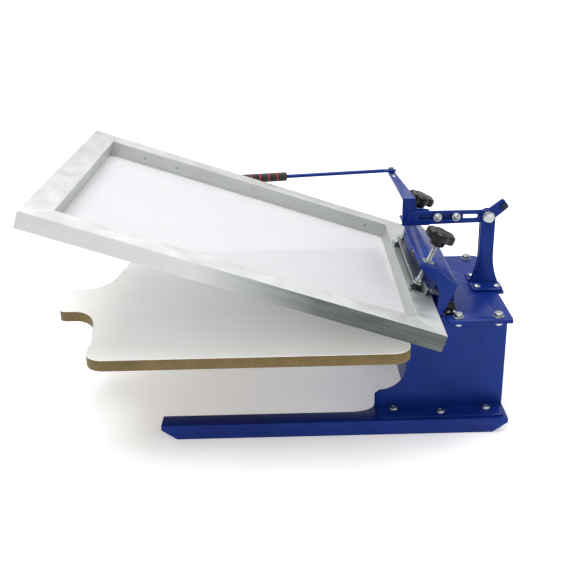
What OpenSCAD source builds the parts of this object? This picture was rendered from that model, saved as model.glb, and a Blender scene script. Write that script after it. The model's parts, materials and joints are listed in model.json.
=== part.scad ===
// Tabletop screen printing press: folded steel base, pallet, tilting screen clamp,
// aluminium screen frame and a swinging pull-down lever. Millimetres, +Z up.
// X runs from the operator (-X) to the back of the press (+X), Y to its far side.
// It is drawn about its centre plane and the surface the rails stand on, and each
// part is then moved by origin_x and origin_y, so that the origin lies under the
// middle of the whole press.

/* [Screen frame] */
// Length of the screen frame, front to back
screen_length = 610; // [450:5:640]
// Width of the screen frame, side to side
screen_width = 508; // [420:2:520]
// Width of each frame bar
bar_width = 40; // [30:1:45]
// Height of each frame bar
bar_height = 25.4; // [20:0.2:30]
// Wall of the aluminium tube
bar_wall = 2; // [1.5:0.5:3]
// Thickness of the mesh on the underside
mesh_thick = 0.4; // [0.3:0.1:0.4]
// How far the screen stands open, in degrees
open_angle = 19; // [10:1:30]
// Gap between pallet and closed screen
off_contact = 2.3; // [2:0.1:4]

/* [Hinge] */
// Hinge axis, behind the zero of the drawing
hinge_x = 203; // [200:1:206]
// Height of the hinge axis above the bench
hinge_z = 202; // [201:1:206]
// Diameter of the hinge shaft
shaft_d = 10; // [8:1:12]
// Running clearance on the diameter of turning fits
running = 0.1; // [0.06:0.02:0.16]

/* [Base] */
// Length of the two base rails
rail_length = 553; // [520:1:600]
// Height of the rails
rail_height = 25; // [25:1:30]
// Half the overall width over the rails
rail_outer = 158; // [154:1:165]
// Steel sheet thickness
sheet = 3; // [2.5:0.5:3]
// Height of the upper face of the top plate
top_z = 190; // [188:1:190]
// Half width between the outer faces of the side plates
side_y = 114; // [110:1:114]

/* [Pallet] */
// Height of the pallet's printing surface
pallet_top = 180; // [178:1:182]
// Thickness of the pallet with its laminate
pallet_thick = 18; // [15:1:20]
// Width of the pallet
pallet_width = 456; // [400:2:460]
// Front end of the pallet's tab
pallet_front = -428; // [-430:1:-400]
// Back end of the pallet
pallet_back = 131; // [120:1:131]

/* [Clamp] */
// Distance of the clamp screws from the centre plane
screw_y = 101; // [90:1:104]
// Diameter of the clamp screws
screw_d = 8; // [6:1:10]
// Outer diameter of the star knobs
knob_d = 49; // [38:1:49]
// Angle by which the clamp screws lean back
screw_lean = 4.3; // [0:0.1:5]

/* [Lever] */
// Lever pivot, behind the zero of the drawing
pivot_x = 283; // [281:1:284]
// Lever pivot, above the bench
pivot_z = 310; // [306:1:312]
// Diameter of the pivot bolt
pivot_d = 10; // [8:1:10]
// Slope of the cross strap towards the far side, in degrees
strap_slope = 4.8; // [4:0.1:5]
// Length of the handle rod
rod_length = 304; // [280:1:320]
// Diameter of the foam grip
grip_d = 17; // [15:1:17]
// Number of coloured rings on the grip
ring_count = 6; // [3:1:6]

/* [Hidden] */
$fn = 48;
blue = "#2c3f9e";
light_blue = "#4a63cf";
zinc = "#c9ccd0";
black = "#1c1d20";
galvanised = "#8b9196";
aluminium = "#d3d5d3";
origin_x = 56;
origin_y = -14.7;
gap = 0.3;
eps = 0.01;
layer = 1;

rail_front = -256;
rail_back = rail_front + rail_length;
rail_inner = rail_outer - 31;
foot_chamfer = 24;
flange_z = rail_height + sheet;
rail_bolts = [[118, 125], [192, 138], [267, 129]];
rail_bolt_d = 6;

side_inner = side_y - sheet;
top_front = 196;
top_back = 298;
ear_back = 309;
top_half = 144;
top_bolt_x = [215, 277];
top_bolt_y = 129;
top_bolt_d = 8;
tray_front = -70;
tray_bolt_x = [-40, 60];
tray_bolt_z = 152;
tray_z = pallet_top - pallet_thick - sheet;
notch_r = 42;
notch_x = 96;
notch_z = 98;

pallet_half = pallet_width / 2;
body_front = -349;
tab_half = 48;
pallet_screw_x = [-52, 30, 112];
pallet_screw_y = 86;
pallet_screw_d = 4.5;

lug_y = 103;
lug_w = 10;
lug_screw_x = [hinge_x - 2, hinge_x + 7];
lug_screw_y = lug_y + 13.8;
ear_y = 96;
ear_w = 5;
hood_y = 125;
spring_y = 108;
spring_axis_z = 14;
pin_x = -12.5;
web_x = -27.6;

// The clamp and the screen are drawn about the hinge axis, as they lie when closed.
screen_bottom = pallet_top + off_contact - hinge_z;
screen_top = screen_bottom + bar_height;
screen_back = -31;
screen_front = screen_back - screen_length;
screw_x = screen_back - 28.4;
hood_top = screen_top + 50;
hood_front = screen_back - 41;
pad_base = screen_top + gap;
pad_back = screen_back - 11.5;
pad_length = 28;
bar_z = pad_base + 11.7;
bar_top = bar_z + 3;
head_z = screen_top + 89;
head_h = 14;
hub_z = head_z - 9;

post_near_y = 2;
post_sheet = 4;
post_half = 11.75;
post_foot = 25;
flare = 13.25;
flare_z = 55;
flare_r = (flare * flare + flare_z * flare_z) / (2 * flare);
post_far_y = 12;
arm_y = 6.5;
arm_thick = 5;
arm_front = 161.5;
arm_end_r = 11.5;
slot_x = [172, 263];
slot_w = 7.2;
bracket_y = 11.9;
bracket_thick = 4;
arm_screw_x = [200, 231];
strap_x = 153.5;
strap_z = 338;
strap_thick = 3;
rod_reach = 258;
rod_start = -13.5;
rod_d = 7;
rod_droop = 2;
rod_bolt_d = 6;
grip_start = 188;
grip_length = 119;
ring_pitch = 16.5;
ring_w = 3.2;

// Points of an arc from angle a0 to a1 about (cx, cy)
function arc(cx, cy, r, a0, a1, n = 12) =
    [for (i = [0:n]) let (a = a0 + (a1 - a0) * i / n) [cx + r * cos(a), cy + r * sin(a)]];

// Points of an elliptical arc
function oval_arc(cx, cy, rx, ry, a0, a1, n = 14) =
    [for (i = [0:n]) let (a = a0 + (a1 - a0) * i / n) [cx + rx * cos(a), cy + ry * sin(a)]];

// The far half is drawn and the near half is its mirror image
module near() {
    mirror([0, 1, 0]) children();
}

module both() {
    children();
    near() children();
}

// Extrudes an X-Z outline from y to y + thick
module wall(y, thick) {
    translate([0, y + thick, 0]) rotate([90, 0, 0]) linear_extrude(thick) children();
}

// A round bar or hole along Y
module rod_y(x, y, z, d, length) {
    translate([x, y + length, z]) rotate([90, 0, 0]) cylinder(d = d, h = length);
}

module rounded_rect(x0, y0, x1, y1, r) {
    polygon(concat(
        arc(x1 - r, y1 - r, r, 0, 90, 6),
        arc(x0 + r, y1 - r, r, 90, 180, 6),
        arc(x0 + r, y0 + r, r, 180, 270, 6),
        arc(x1 - r, y0 + r, r, 270, 360, 6)
    ));
}

// Colours a part and puts it in the part's own frame
module made(paint) {
    color(paint) translate([origin_x, origin_y, 0]) children();
}

// Places the screen and clamp at their open angle
module carrier() {
    translate([hinge_x, 0, hinge_z]) rotate([0, open_angle, 0]) children();
}

// X of a clamp screw's axis at a height in the clamp
function screw_at(z) = screw_x + (z - pad_base) * tan(screw_lean);

// Places a part at a height on the far clamp screw's leaning axis
module on_screw(height) {
    translate([screw_x, screw_y, pad_base]) rotate([0, screw_lean, 0])
        translate([0, 0, height - pad_base]) children();
}

// Bores along both clamp screws
module screw_bores(d) {
    both() on_screw(pad_base) cylinder(d = d, h = head_z);
}

module hex_prism(d, h) {
    cylinder(d = d, h = h, $fn = 6);
}

// Domed button head
module dome_head(d, h) {
    difference() {
        translate([0, 0, h - (d * d / 4 + h * h) / (2 * h)])
            sphere(r = (d * d / 4 + h * h) / (2 * h));
        translate([0, 0, -d * 2]) cube([d * 4, d * 4, d * 4], center = true);
    }
}

// ---- Base ----

module rail() {
    difference() {
        union() {
            translate([0, 0, rail_height - sheet]) linear_extrude(sheet)
                polygon(concat(
                    [[rail_front, rail_outer], [rail_front, rail_inner], [48, rail_inner]],
                    oval_arc(48, rail_inner - 23, 40, 23, 90, 0, 8),
                    [[rail_back, rail_inner - 23], [rail_back, rail_outer]]
                ));
            wall(rail_outer - sheet, sheet)
                polygon([
                    [rail_front, rail_height],
                    [rail_front, rail_height - 8],
                    [rail_front + foot_chamfer, 0],
                    [rail_back - foot_chamfer, 0],
                    [rail_back, rail_height - 8],
                    [rail_back, rail_height]
                ]);
            translate([rail_front + foot_chamfer, rail_outer - 22, 0])
                cube([rail_length - 2 * foot_chamfer, 22, sheet]);
        }
        for (p = rail_bolts) translate([p[0], p[1], rail_height - sheet - 1])
            cylinder(d = rail_bolt_d, h = sheet + 2);
    }
}

module rail_near() {
    made(blue) near() rail();
}

module rail_far() {
    made(blue) rail();
}

module side_outline() {
    polygon(concat(
        [[88, rail_height], [88, 50]],
        arc(notch_x, notch_z, notch_r, -90, 90, 20),
        [
            [tray_front, tray_bolt_z - 5],
            [tray_front, tray_z],
            [152, tray_z],
            [top_front, top_z - sheet],
            [top_back - 2, top_z - sheet],
            [top_back - 2, rail_height]
        ]
    ));
}

module side_plate() {
    difference() {
        union() {
            wall(side_inner, sheet) side_outline();
            translate([0, 0, rail_height]) linear_extrude(sheet)
                rounded_rect(92, side_inner, 292, side_inner + 41, 4);
            translate([0, 0, top_z - 2 * sheet]) linear_extrude(sheet)
                rounded_rect(top_front, side_inner, top_back, top_half, 4);
        }
        for (p = rail_bolts) translate([p[0], p[1], rail_height - 1])
            cylinder(d = rail_bolt_d, h = sheet + 2);
        for (x = top_bolt_x) translate([x, top_bolt_y, top_z - 3 * sheet])
            cylinder(d = top_bolt_d, h = 3 * sheet);
        for (x = lug_screw_x) translate([x, lug_screw_y, top_z - 3 * sheet])
            cylinder(d = 4, h = 3 * sheet);
        for (x = tray_bolt_x) rod_y(x, side_inner - 1, tray_bolt_z, rail_bolt_d, sheet + 2);
    }
}

module side_plate_near() {
    made(blue) near() side_plate();
}

module side_plate_far() {
    made(blue) side_plate();
}

module cross_panel(x, height) {
    translate([x, -side_inner, flange_z]) cube([sheet, 2 * side_inner, height]);
    both() translate([x, side_inner - sheet, flange_z]) cube([18, sheet, height]);
}

module front_panel() {
    made(blue) cross_panel(142, tray_z - flange_z - 4);
}

module rear_panel() {
    made(blue) mirror([1, 0, 0]) cross_panel(-293, top_z - 2 * sheet - flange_z);
}

module post_foot_holes() {
    for (x = [-16, 16]) for (y = [-16, 34]) translate([pivot_x + x, y, top_z - 4 * sheet])
        cylinder(d = rail_bolt_d, h = 6 * sheet);
}

module top_plate() {
    made(light_blue) difference() {
        translate([0, 0, top_z - sheet]) linear_extrude(sheet) {
            rounded_rect(top_front, -top_half, top_back, top_half, 6);
            rounded_rect(top_back - 20, -34, ear_back, 52, 4);
        }
        for (x = top_bolt_x) for (y = [-top_bolt_y, top_bolt_y])
            translate([x, y, top_z - 2 * sheet]) cylinder(d = top_bolt_d, h = 3 * sheet);
        post_foot_holes();
        both() for (x = lug_screw_x) translate([x, lug_screw_y, top_z - 2 * sheet])
            cylinder(d = 4, h = 3 * sheet);
    }
}

module pallet_tray() {
    made(blue) difference() {
        union() {
            translate([0, 0, tray_z]) linear_extrude(sheet)
                rounded_rect(tray_front, -side_y, pallet_back - 1, side_y, 3);
            both() translate([tray_front + 8, side_inner - sheet, tray_bolt_z - 5])
                cube([160, sheet, tray_z - tray_bolt_z + 5 + eps]);
        }
        both() for (x = tray_bolt_x)
            rod_y(x, side_inner - sheet - 1, tray_bolt_z, rail_bolt_d, sheet + 2);
        for (x = pallet_screw_x) for (y = [-pallet_screw_y, pallet_screw_y])
            translate([x, y, tray_z - 1]) cylinder(d = pallet_screw_d, h = sheet + 2);
    }
}

module tray_bolts() {
    made(zinc) both() for (x = tray_bolt_x) {
        rod_y(x, side_inner - sheet - 7, tray_bolt_z, rail_bolt_d, 2 * sheet + 7);
        translate([x, side_y, tray_bolt_z]) rotate([-90, 0, 0]) dome_head(12, 4);
        translate([x, side_inner - sheet, tray_bolt_z]) rotate([90, 0, 0]) hex_prism(11, 5);
    }
}

module pallet_outline() {
    corner = 30;
    neck_y = tab_half + 80;
    far_side = concat(
        arc(pallet_front + 14, tab_half - 14, 14, 180, 90, 6),
        oval_arc(body_front - 52, neck_y, 45, 80, -90, 0, 14),
        [[body_front, neck_y + 34], [body_front, pallet_half - corner]],
        arc(body_front + corner, pallet_half - corner, corner, 180, 90, 10),
        arc(pallet_back - 26, pallet_half - 26, 26, 90, 0, 10)
    );
    polygon(concat(far_side, [for (i = [len(far_side) - 1:-1:0]) [far_side[i][0], -far_side[i][1]]]));
}

module pallet_board() {
    made("#a5804f") difference() {
        translate([0, 0, tray_z + sheet]) linear_extrude(pallet_thick - layer) pallet_outline();
        for (x = pallet_screw_x) for (y = [-pallet_screw_y, pallet_screw_y])
            translate([x, y, tray_z]) cylinder(d = pallet_screw_d, h = sheet + 12);
    }
}

module pallet_laminate() {
    made("#f1efe8") translate([0, 0, pallet_top - layer]) linear_extrude(layer) pallet_outline();
}

module pallet_screws() {
    made(zinc) for (x = pallet_screw_x) for (y = [-pallet_screw_y, pallet_screw_y])
        translate([x, y, tray_z - 2.5]) {
            cylinder(d = 9, h = 2.5);
            cylinder(d = pallet_screw_d, h = 2.5 + sheet + 12);
        }
}

module rail_bolts() {
    made(zinc) both() for (p = rail_bolts) translate([p[0], p[1], flange_z]) {
        dome_head(14, 4);
        translate([0, 0, -16]) cylinder(d = rail_bolt_d, h = 16 + eps);
    }
}

module rail_nuts() {
    made(zinc) both() for (p = rail_bolts)
        translate([p[0], p[1], rail_height - sheet - 5]) difference() {
            hex_prism(11.5, 5);
            translate([0, 0, -1]) cylinder(d = rail_bolt_d, h = 7);
        }
}

module top_bolts() {
    made(zinc) both() for (x = top_bolt_x) translate([x, top_bolt_y, top_z]) {
        cylinder(d = 18, h = 1.6);
        translate([0, 0, 1.6]) hex_prism(15, 5.3);
        translate([0, 0, -18]) cylinder(d = top_bolt_d, h = 18 + eps);
    }
}

module top_nuts() {
    made(zinc) both() for (x = top_bolt_x)
        translate([x, top_bolt_y, top_z - 2 * sheet - 6.5]) difference() {
            union() {
                hex_prism(15, 6.5);
                translate([0, 0, 4.9]) cylinder(d = 18, h = 1.6);
            }
            translate([0, 0, -1]) cylinder(d = top_bolt_d, h = 9);
        }
}

// ---- Hinge ----

module hinge_lug() {
    difference() {
        union() {
            wall(lug_y, lug_w) {
                translate([hinge_x, hinge_z]) circle(r = 8.5);
                polygon([
                    [hinge_x - 11, top_z], [hinge_x + 11, top_z],
                    [hinge_x + 11, top_z + 4], [hinge_x + 8, hinge_z + 3],
                    [hinge_x - 8, hinge_z + 3], [hinge_x - 11, top_z + 4]
                ]);
            }
            translate([hinge_x - 11, lug_y, top_z]) cube([22, 16.5, 4]);
        }
        rod_y(hinge_x, lug_y - 1, hinge_z, shaft_d + running, lug_w + 2);
        for (x = lug_screw_x) translate([x, lug_screw_y, top_z - 1]) cylinder(d = 4, h = 6);
    }
}

module hinge_lug_near() {
    made(black) near() hinge_lug();
}

module hinge_lug_far() {
    made(black) hinge_lug();
}

module lug_screws() {
    made(zinc) both() for (x = lug_screw_x) translate([x, lug_screw_y, top_z + 4]) {
        dome_head(7, 2.4);
        translate([0, 0, -12]) cylinder(d = 4, h = 12 + eps);
    }
}

module hinge_shaft() {
    made(black) carrier() rod_y(0, -lug_y - lug_w - 4, 0, shaft_d, 2 * (lug_y + lug_w + 4));
}

module lift_spring() {
    difference() {
        rod_y(hinge_x, 62, hinge_z, 18, 30);
        rod_y(hinge_x, 61, hinge_z, 13, 32);
    }
    translate([hinge_x + 6.7, 62, top_z]) cube([2, 2, hinge_z - top_z]);
}

module lift_spring_near() {
    made(galvanised) near() lift_spring();
}

module lift_spring_far() {
    made(galvanised) lift_spring();
}

// ---- Clamp ----

// Height of the hood's underside on its sloping part
function hood_under(x) = hood_top - 3 - (x + 45.7) * 13.1 / 28;

module hood_profile() {
    polygon([
        [hood_front, hood_top], [-45, hood_top], [-17, hood_top - 13], [-4, hood_top - 14],
        [-4, hood_top - 17], [-17.7, hood_top - 16.1], [-45.7, hood_top - 3],
        [hood_front, hood_top - 3]
    ]);
}

// Tab folded down from the middle of the hood's front edge
module hood_tab() {
    translate([hood_front, 0, 0]) rotate([90, 0, 90]) linear_extrude(sheet) polygon([
        [-46, hood_top - 1], [-32, hood_top - 13], [32, hood_top - 13], [46, hood_top - 1]
    ]);
}

module hood_flange() {
    polygon([
        [hood_front, hood_top], [-45, hood_top], [-17, hood_top - 13], [-4, hood_top - 14],
        [-4, hood_top - 16], [-9.5, -14.8], [-18, -14.8], [-22, 0], [-26, 18],
        [-37, 33], [-50, 39], [-66, 48], [hood_front, hood_top - 4]
    ]);
}

module clamp_hood() {
    made(light_blue) carrier() difference() {
        union() {
            wall(-hood_y, 2 * hood_y) hood_profile();
            hood_tab();
            both() wall(hood_y - sheet, sheet) hood_flange();
        }
        screw_bores(screw_d + 1);
    }
}

module clamp_jaw() {
    made(blue) carrier() {
        wall(-ear_y - ear_w, 2 * (ear_y + ear_w)) polygon([
            [web_x - sheet, screen_bottom - 3.8], [web_x, screen_bottom - 3.8],
            [web_x, hood_under(web_x)], [web_x - sheet, hood_under(web_x - sheet)]
        ]);
        translate([screen_back - 35, -118, screen_bottom - 3.8])
            cube([web_x - screen_back + 35, 236, sheet]);
    }
}

module hinge_ear() {
    difference() {
        wall(ear_y, ear_w) polygon(concat(
            [[web_x, hood_under(web_x)], [-17.7, hood_top - 16.1], [-4, hood_top - 17]],
            arc(0, 0, 10, 17, -154, 16),
            [[web_x, 18]]
        ));
        rod_y(0, ear_y - 1, 0, shaft_d, ear_w + 2);
    }
}

module hinge_ear_near() {
    made(blue) carrier() near() hinge_ear();
}

module hinge_ear_far() {
    made(blue) carrier() hinge_ear();
}

module clamp_washers() {
    made(zinc) carrier() difference() {
        both() translate([screw_at(hood_top), screw_y, hood_top]) cylinder(d = 20, h = 1.6);
        screw_bores(screw_d + 1);
    }
}

module clamp_nuts() {
    nut_z = hood_top - sheet - 6.5;
    made(zinc) carrier() difference() {
        both() translate([screw_at(nut_z + 3), screw_y, nut_z]) hex_prism(15, 6.5);
        screw_bores(screw_d + running);
    }
}

module pressure_bar() {
    made(galvanised) carrier() difference() {
        translate([screw_at(bar_z), 0, bar_z]) {
            translate([-7, -screw_y, 0]) cube([14, 2 * screw_y, bar_top - bar_z]);
            for (y = [-screw_y, screw_y]) translate([0, y, 0])
                cylinder(d = 17, h = bar_top - bar_z);
        }
        screw_bores(screw_d + running);
    }
}

module pressure_feet() {
    made(black) carrier() both() translate([screw_at(bar_z), screw_y, pad_base + 2]) {
        cylinder(d = 18, h = 2.5);
        cylinder(d = 11, h = bar_z - pad_base - 2);
    }
}

module pressure_pads() {
    made(galvanised) carrier() both() translate([pad_back - pad_length, screw_y - 12, pad_base]) {
        cube([pad_length, 24, 2]);
        cube([2, 24, 6]);
        translate([pad_length - 2, 0, 0]) cube([2, 24, 13]);
    }
}

module clamp_screw() {
    tip = bar_z + 0.7;
    on_screw(tip) cylinder(d = screw_d, h = head_z + 12 - tip);
    on_screw(bar_top + 0.8) cylinder(d = 12, h = 4);
}

module clamp_screw_near() {
    made(zinc) carrier() near() clamp_screw();
}

module clamp_screw_far() {
    made(zinc) carrier() clamp_screw();
}

module star_knob() {
    lobes = 6;
    on_screw(0) difference() {
        union() {
            translate([0, 0, hub_z]) cylinder(d = 22, h = head_z - hub_z + 1);
            difference() {
                translate([0, 0, head_z]) cylinder(d = knob_d, h = head_h);
                for (i = [0:lobes - 1]) rotate(i * 360 / lobes)
                    translate([knob_d / 2 + 2.5, 0, head_z - 1]) cylinder(r = 6.5, h = head_h + 2);
            }
        }
        translate([0, 0, hub_z - 1]) cylinder(d = screw_d, h = head_z + 12 - hub_z + 1);
    }
}

module knob_near() {
    made(black) carrier() near() star_knob();
}

module knob_far() {
    made(black) carrier() star_knob();
}

module pad_spring() {
    x0 = pad_back + 0.5;
    translate([x0, spring_y, spring_axis_z]) rotate([0, 90, 0]) difference() {
        cylinder(d = 9, h = pin_x - 2.8 - x0);
        translate([0, 0, -1]) cylinder(d = 5.4, h = 40);
    }
}

module pad_spring_near() {
    made(galvanised) carrier() near() pad_spring();
}

module pad_spring_far() {
    made(galvanised) carrier() pad_spring();
}

module spring_pins() {
    made(black) carrier() both()
        rod_y(pin_x, ear_y + ear_w, spring_axis_z, 5, hood_y - sheet - ear_y - ear_w);
}

// ---- Screen ----

// One mitred tube along X, its outer side at y = 0 and its inner side at y = bar_width
module mitred_bar(length) {
    w = bar_width;
    t = bar_wall;
    difference() {
        linear_extrude(bar_height) polygon([[0, 0], [length, 0], [length - w, w], [w, w]]);
        translate([0, 0, t]) linear_extrude(bar_height - 2 * t)
            polygon([
                [t - 1, t], [length - t + 1, t],
                [length - w + t + 1, w - t], [w - t - 1, w - t]
            ]);
    }
}

module long_bar() {
    rivet_x = [77, 446, 508];
    difference() {
        mitred_bar(screen_length);
        for (x = rivet_x) rod_y(screen_length - x, bar_width - 2 * bar_wall, bar_height / 2, 3, 6);
    }
}

module frame_bar_near() {
    made(aluminium) carrier()
        translate([screen_front, -screen_width / 2, screen_bottom]) long_bar();
}

module frame_bar_far() {
    made(aluminium) carrier() near()
        translate([screen_front, -screen_width / 2, screen_bottom]) long_bar();
}

module frame_bar_front() {
    made(aluminium) carrier() translate([screen_front, screen_width / 2, screen_bottom])
        rotate(-90) mitred_bar(screen_width);
}

module frame_bar_rear() {
    made(aluminium) carrier() translate([screen_back, -screen_width / 2, screen_bottom])
        rotate(90) mitred_bar(screen_width);
}

module screen_mesh() {
    margin = 15;
    made("#f4f4f0") carrier()
        translate([screen_front + margin, margin - screen_width / 2, screen_bottom - mesh_thick])
            cube([screen_length - 2 * margin, screen_width - 2 * margin, mesh_thick]);
}

// ---- Lever post ----

module post_outline() {
    t1 = asin(flare_z / flare_r);
    translate([pivot_x, top_z]) polygon(concat(
        [[-post_foot, 0]],
        [for (i = [10:-1:0]) let (t = t1 * i / 10)
            [-post_half - flare_r * (1 - cos(t)), flare_z - flare_r * sin(t)]],
        arc(0, pivot_z - top_z, post_half, 180, 0, 16),
        [for (i = [0:10]) let (t = t1 * i / 10)
            [post_half + flare_r * (1 - cos(t)), flare_z - flare_r * sin(t)]],
        [[post_foot, 0]]
    ));
}

module post_plate(y, foot_y) {
    difference() {
        union() {
            wall(y, post_sheet) post_outline();
            translate([0, 0, top_z]) linear_extrude(post_sheet)
                rounded_rect(pivot_x - post_foot, foot_y, pivot_x + post_foot, foot_y + 34, 5);
        }
        rod_y(pivot_x, y - 1, pivot_z, pivot_d, post_sheet + 2);
        post_foot_holes();
    }
}

module post_near() {
    made(blue) post_plate(post_near_y, -30);
}

module post_far() {
    made(blue) post_plate(post_far_y, post_far_y + 2);
}

module post_bolts() {
    made(zinc) for (x = [-16, 16]) for (y = [-16, 34])
        translate([pivot_x + x, y, top_z + post_sheet]) {
            dome_head(12, 4);
            translate([0, 0, -16]) cylinder(d = rail_bolt_d, h = 16 + eps);
        }
}

module post_nuts() {
    made(zinc) for (x = [-16, 16]) for (y = [-16, 34])
        translate([pivot_x + x, y, top_z - sheet - 5]) difference() {
            hex_prism(11.5, 5);
            translate([0, 0, -1]) cylinder(d = rail_bolt_d, h = 7);
        }
}

module pivot_bolt() {
    made(zinc) {
        rod_y(pivot_x, post_near_y - 6, pivot_z, pivot_d, post_far_y + post_sheet + 14);
        rod_y(pivot_x, post_near_y - 1.5, pivot_z, 19, 1.5);
        translate([pivot_x, post_near_y - 1.5, pivot_z]) rotate([90, 0, 0]) hex_prism(18, 5);
    }
}

module pivot_nut() {
    made(zinc) translate([pivot_x, post_far_y + post_sheet, pivot_z]) rotate([-90, 0, 0])
        difference() {
            hex_prism(18, 7);
            translate([0, 0, -1]) cylinder(d = pivot_d, h = 9);
        }
}

// ---- Lever ----

// A point of the arm's bent tail: u along the tail, v across it
tail_angle = 37;
function tail(u, v) = [
    pivot_x + u * cos(tail_angle) - v * sin(tail_angle),
    pivot_z + u * sin(tail_angle) + v * cos(tail_angle)
];

module arm_outline() {
    half = 9;
    r = 4;
    low = tail(32.5, r - half);
    high = tail(32.5, half - r);
    difference() {
        polygon(concat(
            arc(arm_front, pivot_z - 1.5, arm_end_r, 90, 270, 20),
            arc(pivot_x, pivot_z, 11, 255, 270 + tail_angle, 6),
            arc(low[0], low[1], r, tail_angle - 90, tail_angle, 5),
            arc(high[0], high[1], r, tail_angle, tail_angle + 90, 5),
            [[pivot_x - 1.7, pivot_z + 10]]
        ));
        polygon(concat(
            arc(slot_x[0], pivot_z, slot_w / 2, 90, 270, 12),
            arc(slot_x[1], pivot_z, slot_w / 2, -90, 90, 12)
        ));
    }
}

function bumper_at() = [pivot_x + 30 * cos(33), pivot_z + 30 * sin(33)];

module lever_arm() {
    made(blue) difference() {
        wall(arm_y, arm_thick) arm_outline();
        rod_y(pivot_x, arm_y - 1, pivot_z, pivot_d + running, arm_thick + 2);
        rod_y(bumper_at()[0], arm_y - 1, bumper_at()[1], 9, arm_thick + 2);
    }
}

module tail_bumper() {
    made(black) rod_y(bumper_at()[0], 1, bumper_at()[1], 9, 16);
}

// Frame of the sloping cross strap: its underside, starting at the bracket's fold
module on_strap() {
    translate([strap_x, bracket_y, strap_z]) rotate([-strap_slope, 0, 0]) children();
}

module strap_outline() {
    difference() {
        union() {
            polygon([[-11, 0], [11, 0], [6, rod_reach + 8], [-6, rod_reach + 8]]);
            translate([0, rod_reach + 8]) circle(r = 6);
        }
        for (y = [rod_reach - 50, rod_reach]) translate([0, y]) circle(d = rod_bolt_d);
        translate([-rod_bolt_d / 2, rod_reach - 50]) square([rod_bolt_d, 50]);
    }
}

module lever_bracket() {
    left = strap_x - 11;
    right = strap_x + 11;
    made(blue) {
        difference() {
            wall(bracket_y, bracket_thick)
                polygon([
                    [left, 294.5], [188, 294.5], [188, 301], [243, 301], [243, 318],
                    [189, 318], [185, 322], [right, 324], [right, strap_z + 3],
                    [left, strap_z + 3]
                ]);
            for (x = arm_screw_x)
                rod_y(x, bracket_y - 1, pivot_z, rail_bolt_d, bracket_thick + 2);
        }
        on_strap() linear_extrude(strap_thick) strap_outline();
    }
}

module arm_screws() {
    head_y = arm_y - gap;
    made(zinc) for (x = arm_screw_x) {
        rod_y(x, head_y - 2, pivot_z, rail_bolt_d, 18);
        rod_y(x, head_y - 1.3, pivot_z, 14, 1.3);
        translate([x, head_y - 1.3, pivot_z]) rotate([90, 0, 0]) dome_head(11, 4);
    }
}

module arm_nuts() {
    made(zinc) for (x = arm_screw_x)
        translate([x, bracket_y + bracket_thick, pivot_z]) rotate([-90, 0, 0]) difference() {
            hex_prism(11.5, 5);
            translate([0, 0, -1]) cylinder(d = rail_bolt_d, h = 7);
        }
}

module rod_bolt() {
    made(zinc) on_strap() translate([0, rod_reach, 0]) {
        translate([0, 0, -8]) cylinder(d = rod_bolt_d, h = 16);
        translate([0, 0, strap_thick + 4 + 2 * gap]) hex_prism(11.5, 4.5);
    }
}

module rod_nut() {
    made(zinc) on_strap() translate([0, rod_reach, -5]) difference() {
        hex_prism(11.5, 5);
        translate([0, 0, -1]) cylinder(d = rod_bolt_d, h = 7);
    }
}

// Axis of the handle rod, starting beside the bolt and running towards the operator
module on_rod() {
    on_strap() translate([rod_start, rod_reach, strap_thick + gap + 2])
        rotate([0, -90 - rod_droop, 0]) children();
}

module handle_rod() {
    made(light_blue) {
        on_strap() translate([0, rod_reach, strap_thick + gap]) difference() {
            linear_extrude(4) {
                circle(r = 9);
                polygon([[0, -9], [0, 9], [-12, 8], [-26, 3.5], [-26, -3.5], [-12, -8]]);
            }
            translate([0, 0, -1]) cylinder(d = rod_bolt_d + running, h = 6);
        }
        on_rod() cylinder(d = rod_d, h = rod_length);
    }
}

module foam_grip() {
    made(black) on_rod() translate([0, 0, grip_start]) difference() {
        cylinder(d = grip_d, h = grip_length);
        translate([0, 0, -1]) cylinder(d = rod_d, h = rod_length - grip_start + 1);
    }
}

module grip_rings() {
    made("#c23a3a") on_rod() for (i = [0:ring_count - 1])
        translate([0, 0, grip_start + 16.2 + i * ring_pitch]) difference() {
            cylinder(d = grip_d + 0.6, h = ring_w);
            translate([0, 0, -1]) cylinder(d = grip_d, h = ring_w + 2);
        }
}

rail_near();
rail_far();
side_plate_near();
side_plate_far();
front_panel();
rear_panel();
top_plate();
pallet_tray();
tray_bolts();
pallet_board();
pallet_laminate();
pallet_screws();
rail_bolts();
rail_nuts();
top_bolts();
top_nuts();
hinge_lug_near();
hinge_lug_far();
lug_screws();
hinge_shaft();
lift_spring_near();
lift_spring_far();
clamp_hood();
clamp_jaw();
hinge_ear_near();
hinge_ear_far();
clamp_washers();
clamp_nuts();
pressure_bar();
pressure_feet();
pressure_pads();
clamp_screw_near();
clamp_screw_far();
knob_near();
knob_far();
pad_spring_near();
pad_spring_far();
spring_pins();
frame_bar_near();
frame_bar_far();
frame_bar_front();
frame_bar_rear();
screen_mesh();
post_near();
post_far();
post_bolts();
post_nuts();
pivot_bolt();
pivot_nut();
lever_arm();
tail_bumper();
lever_bracket();
arm_screws();
arm_nuts();
rod_bolt();
rod_nut();
handle_rod();
foam_grip();
grip_rings();
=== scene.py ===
"""Screen printing press: materials, fasteners, springs, knobs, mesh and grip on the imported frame.

The mesh helpers work in millimetres, and everything in Blender is in metres.
"""

import json
import math
from collections import namedtuple

import bmesh
import bpy
from mathutils import Matrix, Vector


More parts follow.
